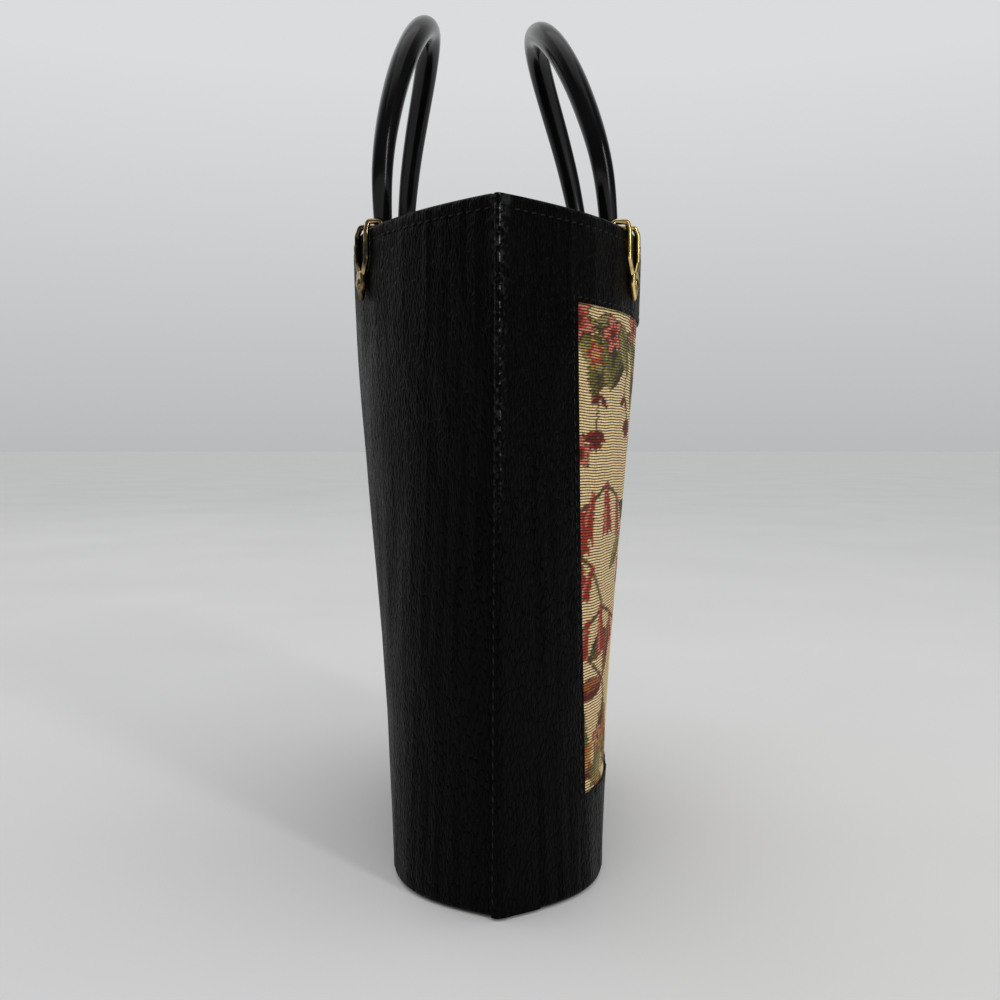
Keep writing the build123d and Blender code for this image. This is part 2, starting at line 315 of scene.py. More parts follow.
def new_group(name, inputs, outputs):
    """A node group; its inputs are numbers with a usual value, or vectors where that is None."""
    group = bpy.data.node_groups.new(name, "ShaderNodeTree")
    for socket, value in inputs.items():
        kind = "NodeSocketVector" if value is None else "NodeSocketFloat"
        made = group.interface.new_socket(socket, in_out="INPUT", socket_type=kind)
        if value is not None:
            made.default_value = value
    for socket in outputs:
        group.interface.new_socket(socket, in_out="OUTPUT", socket_type="NodeSocketFloat")
    return group, add(group, "NodeGroupInput").outputs


def object_place(tree, scale=(1, 1, 1)):
    place = add(tree, "ShaderNodeTexCoord").outputs["Object"]
    return add(tree, "ShaderNodeMapping", {"Vector": place, "Scale": scale}).outputs["Vector"]


def noise(tree, place, scale, detail=2.0):
    inputs = {"Vector": place, "Scale": scale, "Detail": detail}
    return add(tree, "ShaderNodeTexNoise", inputs).outputs["Fac"]


def calculate(tree, operation, *values):
    node = add(tree, "ShaderNodeMath", dict(enumerate(values)), operation=operation)
    return node.outputs["Value"]


def rescale(tree, value, start, end, low=0.0, high=1.0):
    """The stretch from start to end becomes the one from low to high, and goes no further."""
    inputs = {"Value": value, "From Min": start, "From Max": end, "To Min": low, "To Max": high}
    return add(tree, "ShaderNodeMapRange", inputs).outputs["Result"]


def ramp(tree, factor, stops):
    """Goes through stops, each a position and a grey value or a colour."""
    node = add(tree, "ShaderNodeValToRGB", {"Fac": factor})
    elements = node.color_ramp.elements
    while len(elements) < len(stops):
        elements.new(0.5)
    for element, (position, value) in zip(elements, stops):
        element.position = position
        element.color = (*(value if isinstance(value, tuple) else (value, value, value)), 1)
    return node.outputs["Color"]


def mix(tree, factor, first, second, blend="MIX"):
    """Mixes two colours, each a socket or three numbers."""
    first, second = ((*side, 1) if isinstance(side, tuple) else side for side in (first, second))
    inputs = {"Factor": factor, 6: first, 7: second}
    return add(tree, "ShaderNodeMix", inputs, data_type="RGBA", blend_type=blend).outputs[2]


def fine_bumps(tree, height_map, strength, distance):
    """A normal for small bumps too fine to model."""
    inputs = {"Height": height_map, "Strength": strength, "Distance": distance}
    return add(tree, "ShaderNodeBump", inputs).outputs["Normal"]


def new_material(name):
    material = bpy.data.materials.new(name)
    material.use_nodes = True
    return material, material.node_tree


def finish_material(material, inputs):
    tree = material.node_tree
    feed(tree, tree.nodes["Principled BSDF"], inputs)
    return material


def dress(piece, material):
    piece.data.materials.clear()
    piece.data.materials.append(material)


def make_grain_group():
    """Crinkled hide grain: cells drawn out along one axis, with finer wrinkles between them."""
    inputs = {"Vector": None, "Cells": 800.0}
    group, start = new_group("hide_grain", inputs, ["Height", "Crease"])
    place = start["Vector"]
    bent = add(group, "ShaderNodeTexNoise", {"Vector": place, "Scale": 260.0, "Detail": 2.0})
    pushed = add(
        group,
        "ShaderNodeVectorMath",
        {0: bent.outputs["Color"], 1: (0.0022, 0.0022, 0.0022), 2: place},
        operation="MULTIPLY_ADD",
    ).outputs["Vector"]
    cells = {"Vector": pushed, "Scale": start["Cells"]}
    edges = add(group, "ShaderNodeTexVoronoi", cells, feature="DISTANCE_TO_EDGE")
    crease = ramp(group, edges.outputs["Distance"], [(0.0, 0.0), (0.16, 0.8), (0.45, 1.0)])
    fine = noise(group, pushed, 1500.0, 3.0)
    hide = calculate(group, "MULTIPLY_ADD", fine, 0.5, crease)
    add(group, "NodeGroupOutput", {"Height": hide, "Crease": crease})
    return group


worn_from, worn_to = 0.1258, 0.1300
worn_spot = (0.1285, -0.0032, 0.2972)
worn_spot_radius, worn_spot_core = 0.0030, 0.0014


def make_wear_group():
    """Patchy rubbing of the fold at the pointed ends, all worn through at its upper corner."""
    group, start = new_group("corner_wear", {"Start": worn_from, "End": worn_to}, ["Wear"])
    place = add(group, "ShaderNodeTexCoord").outputs["Object"]
    axes = add(group, "ShaderNodeSeparateXYZ", {0: place}).outputs
    out = calculate(group, "ABSOLUTE", axes["X"])
    level = rescale(group, out, start["Start"], start["End"])
    patches = ramp(group, noise(group, place, 520.0, 3.0), [(0.50, 0.0), (0.64, 1.0)])
    rubbed = calculate(group, "MULTIPLY", level, patches)
    mirrored = add(group, "ShaderNodeCombineXYZ", {"X": out, "Y": axes["Y"], "Z": axes["Z"]})
    corner = add(
        group,
        "ShaderNodeVectorMath",
        {0: mirrored.outputs["Vector"], 1: worn_spot},
        operation="DISTANCE",
    ).outputs["Value"]
    spot = rescale(group, corner, worn_spot_radius, worn_spot_core)
    add(group, "NodeGroupOutput", {"Wear": calculate(group, "MAXIMUM", rubbed, spot)})
    return group


hide_grain = make_grain_group()
corner_wear = make_wear_group()
hide_dark, hide_light = (0.0007, 0.0008, 0.0009), (0.0016, 0.0018, 0.0019)
# hide_crease_shade is painted shade for the creases of the grain; hide_worn is the grey of
# rubbed-through vinyl.
hide_crease_shade, hide_worn = (0.0004, 0.0004, 0.0004), (0.011, 0.012, 0.0125)
rubbed_roughness = (0.24, 0.24, 0.24)


def grain_on(tree, scale, cells):
    """The outputs of the hide grain, laid on a piece with a scale for each of its axes."""
    inputs = {"Vector": object_place(tree, scale), "Cells": cells}
    return add(tree, "ShaderNodeGroup", inputs, node_tree=hide_grain).outputs


def make_vinyl_material():
    material, tree = new_material("black_vinyl")
    grain = grain_on(tree, (1.0, 1.0, 0.30), 560.0)
    wear = add(tree, "ShaderNodeGroup", node_tree=corner_wear).outputs["Wear"]
    tone = noise(tree, object_place(tree), 30.0)
    hide = ramp(tree, tone, [(0.35, hide_dark), (0.65, hide_light)])
    # The creases between the grain cells are made darker: painted shade in the grooves, on top of
    # their bump.
    crease_shaded = mix(tree, grain["Crease"], hide_crease_shade, hide)
    rough = ramp(tree, tone, [(0.3, 0.34), (0.7, 0.46)])
    inputs = {
        "Base Color": mix(tree, wear, crease_shaded, hide_worn),
        "Roughness": mix(tree, wear, rough, rubbed_roughness),
        "Coat Weight": wear,
        "Coat Roughness": 0.2,
        "Specular IOR Level": 0.05,
        "Normal": fine_bumps(tree, grain["Height"], 1.0, 0.0006),
    }
    return finish_material(material, inputs)


vinyl_material = make_vinyl_material()
dress(back_vinyl, vinyl_material)
dress(front_vinyl, vinyl_material)

# Bottom sheet. A flat piece of the same vinyl under the bag, glued over the turned-in edges.
# Its cut edge shows as a thin paler line all round.

sheet_thickness = 0.0008
sheet_inset = 0.0015
sheet_edge = 0.0003


def bottom_ring(depth, z):
    shares = [sin(pi / 2 * (step / 24 - 1)) for step in range(49)]
    near = [wall("back", share, 0, depth) for share in shares]
    far = [wall("front", share, 0, depth) for share in reversed(shares[1:-1])]
    return [Vector((p.x, p.y, z)) for p in near + far]


def round_edges(piece, width, segments, angle=30):
    """Rounds the edges of a piece that are sharper than an angle."""
    edge = piece.modifiers.new("edge", "BEVEL")
    edge.limit_method = "ANGLE"
    edge.angle_limit = radians(angle)
    edge.width = width
    edge.segments = segments
    bpy.ops.object.modifier_apply(modifier=edge.name)


def lay_disc(name, ring, fill, centre=()):
    """A disc whose vertices are moved, one by one, to a ring and, in a fan, its centre."""
    deselect_all()
    bpy.ops.mesh.primitive_circle_add(vertices=len(ring), radius=1, fill_type=fill)
    disc = bpy.context.object
    disc.name = name
    for vertex, place in zip(disc.data.vertices, [*ring, *centre]):
        vertex.co = place
    return disc


def make_bottom():
    """A disc in the bag's outline, given a thickness and round edges."""
    piece = lay_disc("bottom_vinyl", bottom_ring(sheet_inset, 0), "NGON")
    bpy.ops.object.mode_set(mode="EDIT")
    bpy.ops.mesh.select_all(action="SELECT")
    bpy.ops.mesh.extrude_region_move(TRANSFORM_OT_translate={"value": (0, 0, sheet_thickness)})
    bpy.ops.mesh.select_all(action="SELECT")
    bpy.ops.mesh.normals_make_consistent(inside=False)
    bpy.ops.object.mode_set(mode="OBJECT")
    round_edges(piece, sheet_edge, 2)
    return piece


bottom_vinyl = make_bottom()
smooth(bottom_vinyl, 30)
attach(bottom_vinyl, "bag")
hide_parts("base_panel")


cloth_backing, underside = (0.10, 0.095, 0.085), (0.002, 0.002, 0.0021)


def make_bottom_material():
    """The grained vinyl below, and the pale cloth backing where the edge is cut."""
    material, tree = new_material("bottom_vinyl")
    grain = grain_on(tree, (1, 1, 1), 760.0)
    normal = add(tree, "ShaderNodeNewGeometry").outputs["True Normal"]
    upright = add(tree, "ShaderNodeSeparateXYZ", {0: normal}).outputs["Z"]
    flat = calculate(tree, "ABSOLUTE", upright)
    inputs = {
        "Base Color": ramp(tree, flat, [(0.3, cloth_backing), (0.8, underside)]),
        "Roughness": 0.5,
        "Normal": fine_bumps(tree, grain["Height"], 0.5, 0.0003),
    }
    return finish_material(material, inputs)


dress(bottom_vinyl, make_bottom_material())

# Seams. Black polyester thread in lockstitch: one row under the rim of each wall, one round the
# window and one down each lapped edge. Every stitch lies in the groove that it pulls.

stitch_pitch = 0.0049
stitch_length = 0.0036
stitch_sag = 0.00026
stitch_slant = 0.16
thread_radius = 0.00034


def make_stitch():
    """One stitch along X, thickest in its middle, its two ends sunk into the vinyl."""
    deselect_all()
    bpy.ops.mesh.primitive_uv_sphere_add(segments=8, ring_count=6, radius=1)
    stitch = bpy.context.object
    for vertex in stitch.data.vertices:
        x, y, z = vertex.co
        sag = stitch_sag * x * x
        vertex.co = (x * stitch_length / 2, y * thread_radius, z * thread_radius - sag)
    return stitch


def seam(name, places):
    """Copies of the stitch; each place is a point, a direction along and one outwards."""
    first = make_stitch()
    copies = []
    for point, along, outwards in places:
        along = along.normalized()
        aside = outwards.cross(along).normalized()
        slant = (along + aside * stitch_slant).normalized()
        outwards = slant.cross(outwards.cross(slant)).normalized()
        across = outwards.cross(slant)
        turn = Matrix((slant, across, outwards)).transposed().to_4x4()
        copy = first.copy()
        copy.data = first.data.copy()
        copy.data.transform(Matrix.Translation(point) @ turn)
        bpy.context.collection.objects.link(copy)
        copies.append(copy)
    bpy.data.objects.remove(first)
    row = join(name, copies)
    smooth(row, 80)
    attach(row, "bag")
    return row


def even_places(line, outward_at):
    """Evenly spaced stitches along a line of points."""
    places = []
    travelled = 0.0
    due = stitch_pitch / 2
    for a, b in zip(line, line[1:]):
        step = (b - a).length
        while due <= travelled + step:
            level = (due - travelled) / step
            point = a + (b - a) * level
            places.append((point, b - a, outward_at(point)))
            due += stitch_pitch
        travelled += step
    return places


last_share = 0.985


def wall_ways(side, x, z):
    """The ways outwards and upwards on the outer face, which stay the same past last_share."""
    share = max(min(share_at(x, z), last_share), -last_share)
    along = wall(side, share + 0.01, z) - wall(side, share - 0.01, z)
    upward = wall(side, share, z + 0.001) - wall(side, share, z - 0.001)
    outward = along.cross(upward).normalized() * -facing[side]
    return outward, upward.normalized()


def wall_seam(name, side, line):
    return seam(name, even_places(line, lambda point: wall_ways(side, point.x, point.z)[0]))


hem_reach = {"front": 0.967, "back": 0.983}
hem_sink, hem_rise_on_lap, window_seam_rise = 0.00005, 0.00042, 0.00002
lap_seam_column = 0.93
lap_seam_low, lap_seam_high = 0.006, height - 0.003


def hem_line(side):
    """Along the rim; at the front it runs on over the laps, which stand out a little."""
    line = []
    for share in np.linspace(-hem_reach[side], hem_reach[side], 300):
        lapped = side == "front" and abs(share) > lap_start_share
        line.append(wall(side, share, hem_stitch_z, -hem_rise_on_lap if lapped else hem_sink))
    return line


def window_line():
    """Round the window, a little outside its edge, with the corners cut."""
    away = window_stitch
    low, high = window_low - away, window_high + away
    right = [(window_half(z) + away, z) for z in np.linspace(low, high, 120)]
    top = [(x, high) for x in np.linspace(right[-1][0], -right[-1][0], 160)]
    left = [(-x, z) for x, z in reversed(right)]
    below = [(x, low) for x in np.linspace(-right[0][0], right[0][0], 160)]
    outline = right + top[1:] + left[1:] + below[1:]
    return [wall("front", share_at(x, z), z, -window_seam_rise) for x, z in outline]


def lap_seam(name, hand):
    """Down the lapped edge, which faces outwards and a little back."""
    heights = np.linspace(lap_seam_low, lap_seam_high, 200)
    line = [lap_place(hand, lap_seam_column, z) for z in heights]
    return seam(name, even_places(line, lambda point: Vector((hand * 0.8, 0.6, 0))))


stitch_rows = [wall_seam(f"{side}_hem_stitches", side, hem_line(side)) for side in facing]
stitch_rows.append(wall_seam("window_stitches", "front", window_line()))
stitch_rows += [lap_seam("left_lap_stitches", -1), lap_seam("right_lap_stitches", 1)]


thread_dark, thread_light = (0.002, 0.002, 0.002), (0.007, 0.007, 0.0075)


def make_thread_material():
    material, tree = new_material("black_thread")
    strand = noise(tree, object_place(tree), 2600.0)
    inputs = {
        "Base Color": ramp(tree, strand, [(0.3, thread_dark), (0.7, thread_light)]),
        "Roughness": 0.34,
        "Specular IOR Level": 0.2,
        "Normal": fine_bumps(tree, strand, 0.4, 0.0001),
    }
    return finish_material(material, inputs)


thread_material = make_thread_material()
for row in stitch_rows:
    dress(row, thread_material)

# Tapestry. Woven cloth with level ribs, cream with leaves, flowers and stems in olive, red,
# pink and gold. It is stretched over the front board, behind the window in the vinyl.

cloth_depth = 0.0009
cloth_clearance = 0.00002
rib_pitch = 0.00126
rib_height = 0.00030
rib_stagger = 0.7
cloth_thickness = 0.0005
cloth_margin = 0.0025
cloth_low, cloth_high = window_low - cloth_margin, window_high + cloth_margin

cream = (0.86, 0.64, 0.33)
# rib_gap_shade is painted shade for the gaps between the ribs of the weave.
rib_gap_shade = (0.020, 0.011, 0.003)
olive = (0.17, 0.145, 0.035)
dark_olive = (0.045, 0.042, 0.012)
sage = (0.36, 0.29, 0.10)
red = (0.38, 0.030, 0.016)
dark_red = (0.13, 0.012, 0.008)
rose = (0.70, 0.23, 0.15)
gold = (0.56, 0.31, 0.055)
rust = (0.40, 0.11, 0.025)
stem_brown = (0.13, 0.065, 0.025)
olive_leaf, sage_leaf, rust_leaf = (olive, dark_olive), (sage, olive), (rust, dark_red)
red_petal = (red, dark_red)


def local_axes(cloth, at, angle):
    """The paint of a cloth, and how far its points lie along a direction and aside of it."""
    paint, x, z = cloth
    turn = radians(angle)
    dx, dz = x - at[0], z - at[1]
    return paint, dx * cos(turn) + dz * sin(turn), dz * cos(turn) - dx * sin(turn)


def weave_leaf(cloth, at, angle, length, width, tones):
    """A pointed leaf with a darker lower half, rim and midrib. Sizes are in millimetres."""
    paint, along, aside = local_axes(cloth, at, angle)
    fill, shade = tones
    level = np.clip(along / length, 0, 1)
    half = width / 2 * np.sin(pi * level) ** 0.8
    inside = (along > 0) & (along < length) & (np.abs(aside) < half)
    paint[inside] = fill
    paint[inside & (aside < -0.12 * width)] = shade
    paint[inside & (np.abs(aside) < 0.5) & (level < 0.85)] = shade
    paint[inside & (np.abs(aside) > half - 0.7)] = shade


def weave_flower(cloth, at, radius, petals, outer, inner, heart, turn=0.0):
    """An open flower: lobed petals, an inner ring and a heart."""
    paint, x, z = cloth
    dx, dz = x - at[0], z - at[1]
    reach = np.hypot(dx, dz)
    angle = np.arctan2(dz, dx) + radians(turn)
    rim = radius * (0.8 + 0.2 * np.cos(petals * angle))
    ring = reach < 0.58 * rim
    paint[reach < rim] = outer
    paint[(reach < rim) & (reach > rim - 0.13 * radius)] = heart
    paint[ring] = inner
    paint[ring & (np.abs(np.sin(petals / 2 * angle)) < 0.22)] = outer
    paint[reach < 0.22 * radius] = heart


def weave_bell(cloth, at, angle, length, fill, light):
    """A hanging blossom, narrow at its stalk and flared at its mouth."""
    paint, along, aside = local_axes(cloth, at, angle)
    level = np.clip(along / length, 0, 1)
    half = length * (0.07 + 0.19 * level**1.2)
    scallop = length * (1 - 0.12 * np.abs(np.sin(aside * 14 / length)))
    inside = (along > 0) & (along < scallop) & (np.abs(aside) < half)
    paint[inside] = fill
    paint[inside & (aside > 0.25 * half) & (aside < 0.65 * half)] = light


def weave_stem(cloth, points, width, colour):
    """A bent stalk through a few points."""
    paint, x, z = cloth
    for (ax, az), (bx, bz) in zip(points, points[1:]):
        span = hypot(bx - ax, bz - az)
        level = np.clip(((x - ax) * (bx - ax) + (z - az) * (bz - az)) / span**2, 0, 1)
        away = np.hypot(x - ax - level * (bx - ax), z - az - level * (bz - az))
        paint[away < width / 2] = colour


def weave_garland(cloth):
    """Long leaves and open flowers along the top of the window."""
    stem = [(0, 252), (24, 243), (50, 253), (78, 243), (104, 254)]
    weave_stem(cloth, stem, 2.2, stem_brown)
    for i in range(7):
        at = (4 + 16 * i, 252 + 4 * sin(1.9 * i))
        weave_leaf(cloth, at, 214 + 17 * (i % 3), 30, 11, sage_leaf)
        weave_leaf(cloth, at, -48 - 19 * (i % 3), 34, 12, olive_leaf)
        weave_leaf(cloth, at, -8 + 16 * (i % 2), 20, 9, (sage, dark_olive))
    for at, radius in (((12, 250), 12), ((42, 256), 10), ((72, 250), 10), ((98, 254), 12)):
        weave_flower(cloth, at, radius, 5, rose, red, dark_red, 20 * at[0])
    weave_flower(cloth, (86, 240), 7, 5, red, rose, gold)
    weave_flower(cloth, (28, 238), 7, 5, red, rose, gold)


def weave_sprigs(cloth):
    """Small clusters of red petals that hang under the garland."""
    for at_x, drop, lean in ((20, 205, 5), (52, 212, -6), (80, 206, 5)):
        top, low = (at_x, 236), (at_x + lean, drop)
        weave_stem(cloth, [top, (at_x + 3, 224), low], 1.4, stem_brown)
        for turn in (-150, -118, -90, -62, -30):
            weave_leaf(cloth, low, turn, 10, 4.6, red_petal)
        weave_leaf(cloth, (at_x + 2, 222), -140, 8, 4, red_petal)
        weave_leaf(cloth, (at_x + 2, 222), -30, 8, 4, red_petal)


def weave_bouquet(cloth):
    """Tall bent stalks from the foot of the window with hanging blossoms and long leaves."""
    stalks = [
        [(0, 70), (8, 110), (28, 148), (52, 172), (74, 182), (96, 170)],
        [(4, 70), (22, 96), (48, 116), (76, 126), (99, 116)],
        [(66, 66), (74, 92), (90, 104)],
        [(76, 126), (88, 146), (99, 152)],
    ]
    for stalk in stalks:
        weave_stem(cloth, stalk, 2.0, stem_brown)
    for at, angle, length, tones in (
        ((28, 148), 158, 30, olive_leaf),
        ((40, 160), -34, 32, sage_leaf),
        ((52, 172), 196, 26, olive_leaf),
        ((48, 116), 150, 30, sage_leaf),
        ((62, 120), -66, 30, rust_leaf),
        ((90, 104), 152, 24, olive_leaf),
        ((74, 92), -6, 28, rust_leaf),
        ((22, 96), 38, 30, olive_leaf),
        ((10, 118), 66, 28, rust_leaf),
    ):
        weave_leaf(cloth, at, angle, length, 10, tones)
    for at, angle, length in (
        ((74, 183), -96, 26),
        ((86, 179), -74, 24),
        ((95, 172), -92, 22),
        ((60, 177), -112, 22),
        ((78, 127), -92, 24),
        ((90, 122), -74, 20),
        ((64, 124), -112, 20),
        ((97, 152), -100, 20),
        ((86, 146), -62, 18),
        ((30, 150), -84, 20),
    ):
        weave_bell(cloth, at, angle, length, red, rose)
    for at, radius in (((8, 112), 13), ((38, 138), 11), ((10, 178), 12), ((96, 196), 9)):
        weave_flower(cloth, at, radius, 6, rose, red, dark_red, at[1])


def weave_meadow(cloth):
    """Close foliage along the bottom of the window."""
    tones = ((gold, rust), olive_leaf, rust_leaf, sage_leaf)
    for row in range(3):
        for i in range(12):
            at = (3 + 9.5 * i + 4 * (row % 2), 60 - 9 * row + 4 * sin(2.3 * i))
            tone = tones[(3 * i + 2 * row) % 4]
            weave_leaf(cloth, at, 34 + 47 * ((i + row) % 3), 25, 9, tone)
    for i in range(6):
        at = (8 + 18 * i, 60 + 8 * sin(2.1 * i))
        weave_flower(cloth, at, 7, 5, red if i % 2 else rose, gold, dark_red, 31 * i)


def woven_colours(x, z):
    """Colours of the threads. The design is the same on both halves of the cloth."""
    paint = np.tile(np.array(cream), (len(x), 1))
    for weave in (weave_bouquet, weave_meadow, weave_garland, weave_sprigs):
        weave((paint, np.abs(x), z))
    return paint


def make_tapestry():
    """The cloth with its ribs, and an attribute with thread colours and, as alpha, the crests."""
    count = round((cloth_high - cloth_low) / rib_pitch)
    rows = [(cloth_low + i * rib_pitch / 2, i % 2) for i in range(2 * count + 1)]
    columns = list(np.linspace(-1, 1, 137))

    def place(column, row):
        z, crest = row
        x = column * (window_half(z) + cloth_margin)
        sway = 0.00024 * sin(x * 170) + 0.00012 * sin(x * 510 + z * 90)
        depth = cloth_depth + cloth_clearance + (0 if crest else rib_height)
        point = wall("front", share_at(x, z), z, depth)
        point.z += sway if cloth_low < z < cloth_high else 0
        return point

    cloth = lay_grid("tapestry_cloth", columns, rows, place)
    face_side(cloth, (0, -1, 0))
    z, crest, column = np.array([(*row, column) for row in rows for column in columns]).T
    x = column * (window_half(z) + cloth_margin) * 1000 + rib_stagger * (z // rib_pitch % 2)
    colours = np.column_stack([woven_colours(x, z * 1000), crest])
    attribute = cloth.data.color_attributes.new("weave", "FLOAT_COLOR", "POINT")
    attribute.data.foreach_set("color", colours.ravel())
    return cloth


tapestry = make_tapestry()
thicken(tapestry, cloth_thickness)
smooth(tapestry, 180)
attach(tapestry, "bag")
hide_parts("tapestry_panel")


def make_tapestry_material():
    """Thread colours from the weave, painted shade in the gaps between the ribs, and the uneven
    twist of yarn.
    """
    material, tree = new_material("tapestry")
    weave = add(tree, "ShaderNodeVertexColor", layer_name="weave").outputs
    crest = ramp(tree, weave["Alpha"], [(0.36, 0.0), (0.56, 1.0)])
    # Between the crests the thread colour is darkened towards brown: painted shade in the gaps
    # between the ribs.
    shaded_gap = mix(tree, 0.06, rib_gap_shade, weave["Color"])
    woven = mix(tree, crest, shaded_gap, weave["Color"])
    yarn = noise(tree, object_place(tree, (1.0, 1.0, 0.6)), 900.0, 3.0)
    uneven = ramp(tree, yarn, [(0.3, 0.66), (0.7, 1.1)])
    inputs = {
        "Base Color": mix(tree, 1.0, woven, uneven, "MULTIPLY"),
        "Roughness": 0.85,
        "Sheen Weight": 0.08,
        "Specular IOR Level": 0.1,
        "Normal": fine_bumps(tree, yarn, 0.8, 0.0004),
    }
    return finish_material(material, inputs)


dress(tapestry, make_tapestry_material())

# Lining. Plain cotton over the inside of both walls and the bottom, glued at the edges and
# caught under the flap of the rim. It hangs a little uneven.

lining_low = 0.0040
lining_high = height - hem_depth + 0.003
lining_free = height - hem_depth - 0.0006
lining_step = 0.0025
lining_stand_off, lining_slack = 0.0007, 0.00035
lining_thickness = 0.0003
lining_depth = {"front": 0.0029, "back": 0.0022}
lining_shares = [sin(pi / 2 * step) for step in np.linspace(-0.985, 0.985, 81)]
floor_inset, floor_z = 0.0042, 0.0038


def make_lining(side):
    def place(share, z):
        free = min(max((lining_free - z) / lining_step, 0), 1)
        slack = lining_slack * abs(sin(9 * share + 30 * z) * sin(61 * z))
        return wall(side, share, z, lining_depth[side] + free * (lining_stand_off + slack))

    rows = list(np.linspace(lining_low, lining_free - lining_step, 56))
    rows += [lining_free - 0.0012, lining_free, lining_high]
    lining = lay_grid(f"{side}_lining_cloth", lining_shares, rows, place)
    face_side(lining, (0, -facing[side], 0))
    thicken(lining, lining_thickness)
    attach(lining, "bag")
    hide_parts(f"{side}_lining")
    return lining


def make_bottom_lining():
    ring = bottom_ring(floor_inset, floor_z)
    piece = lay_disc("bottom_lining_cloth", ring, "TRIFAN", [Vector((0, 0, floor_z))])
    face_side(piece, (0, 0, 1))
    thicken(piece, lining_thickness)
    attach(piece, "bag")
    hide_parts("base_lining")
    return piece


def make_weave_group():
    """A plain over-and-under weave of fine threads on two of the object's axes."""
    group, start = new_group("plain_weave", {"Vector": None, "Threads": 1400.0}, ["Height"])
    bands = {"Vector": start["Vector"], "Scale": start["Threads"]}
    across, upright = (
        add(group, "ShaderNodeTexWave", bands, bands_direction=way).outputs["Fac"] for way in "XZ"
    )
    threads = calculate(group, "MAXIMUM", across, upright)
    add(group, "NodeGroupOutput", {"Height": threads})
    return group


plain_weave = make_weave_group()


def make_cloth_material(name, dark, light):
    material, tree = new_material(name)
    weave = {"Vector": object_place(tree), "Threads": 600.0}
    threads = add(tree, "ShaderNodeGroup", weave, node_tree=plain_weave).outputs["Height"]
    tone = noise(tree, object_place(tree), 55.0)
    inputs = {
        "Base Color": ramp(tree, tone, [(0.3, dark), (0.7, light)]),
        "Roughness": 0.85,
        "Sheen Weight": 0.2,
        "Normal": fine_bumps(tree, threads, 0.5, 0.0002),
    }
    return finish_material(material, inputs)


lining_material = make_cloth_material("cotton_lining", (0.13, 0.11, 0.09), (0.17, 0.145, 0.12))
linings = [make_lining("front"), make_lining("back"), make_bottom_lining()]
for piece in linings:
    smooth(piece)
    dress(piece, lining_material)

# Boards. Stiff fibre board in both walls and the bottom, cut flat and bent to shape. They are
# closed in between the vinyl and the lining.

board_material = make_cloth_material("fibre_board", (0.30, 0.24, 0.17), (0.38, 0.31, 0.22))
for name in ("front_board", "back_board", "base_board"):
    dress(nodes[name], board_material)

# Handles. Each is one arch moulded in glossy black plastic, thicker at its crown than at its
# two ends, and drilled at the ends for the pins of its clips.

pin_below_rim = 0.005
handle_reach = {"front": 0.0524745, "back": 0.0533035}
handle_lean = {"front": 4.4, "back": -2.8}
clip_spread = 0.056
handle_height = 0.1165
handle_bow = 0.289
handle_shape = [(0.25, 0.0625), (0.50, 0.0567), (0.72, 0.0458), (0.90, 0.0289)]
handle_end_radius = 0.0041
handle_top_radius = 0.0061
handle_tip = 0.0038


def handle_radius(rise):
    level = sin(pi / 2 * min(max(rise / handle_height, 0), 1))
    return handle_end_radius + (handle_top_radius - handle_end_radius) * level


def spline_slopes(knots, values, first, last):
    """Slopes of the smooth cubic spline through values, with those at its ends given."""
    count = len(knots)
    steps = np.diff(knots)
    system = np.eye(count)
    known = np.zeros((count, values.shape[1]))
    known[0], known[-1] = first, last
    for i in range(1, count - 1):
        before, after = steps[i - 1], steps[i]
        system[i, i - 1 : i + 2] = 1 / before, 2 / before + 2 / after, 1 / after
        rises = (values[i] - values[i - 1]) / before**2, (values[i + 1] - values[i]) / after**2
        known[i] = 3 * (rises[0] + rises[1])
    return np.linalg.solve(system, known)


def handle_knots():
    """Bezier knots from one tip to the other: places and the reach of their handles."""
    half = [(clip_spread, 0.0)] + [(x, share * handle_height) for share, x in handle_shape]
    half.append((0.0, handle_height))
    places = np.array([(x, -(rise**2) / (2 * handle_bow), rise) for x, rise in half])
    lengths = np.linalg.norm(np.diff(places, axis=0), axis=1)
    knots = np.concatenate([[0], np.cumsum(lengths)])
    slopes = spline_slopes(knots, places, (0, 0, 1), (-1, 0, 0))
    before = np.concatenate([[lengths[0]], lengths])
    after = np.concatenate([lengths, [lengths[-1]]])
    right = [
        (Vector(place), Vector(slope) * a / 3, Vector(slope) * b / 3)
        for place, slope, a, b in zip(places, slopes, before, after)
    ]
    short = Vector((0, 0, handle_tip / 3))
    right[0] = (right[0][0], short, right[0][2])
    right.insert(0, (Vector((clip_spread, 0, -handle_tip)), short, short))
    flip = Vector((-1, 1, 1))
    left = [(place * flip, -b * flip, -a * flip) for place, a, b in reversed(right[:-1])]
    return right + left


def blank_curve(name, kind, count):
    """A curve in place of the primitive's own, with so many points still to be placed."""
    deselect_all()
    bpy.ops.curve.primitive_bezier_curve_add(location=(0, 0, 0))
    curve = bpy.context.object
    curve.name = name
    curve.data.splines.clear()
    spline = curve.data.splines.new(kind)
    points = spline.bezier_points if kind == "BEZIER" else spline.points
    points.add(count - 1)
    return curve.data, spline, points


def finish_curve(curve, steps, bevel, rings):
    """Gives a curve its round section or round edges, and makes it a mesh."""
    curve.resolution_u = steps
    curve.bevel_depth = bevel
    curve.bevel_resolution = rings
    curve.use_fill_caps = True
    bpy.ops.object.convert(target="MESH")
    return bpy.context.object


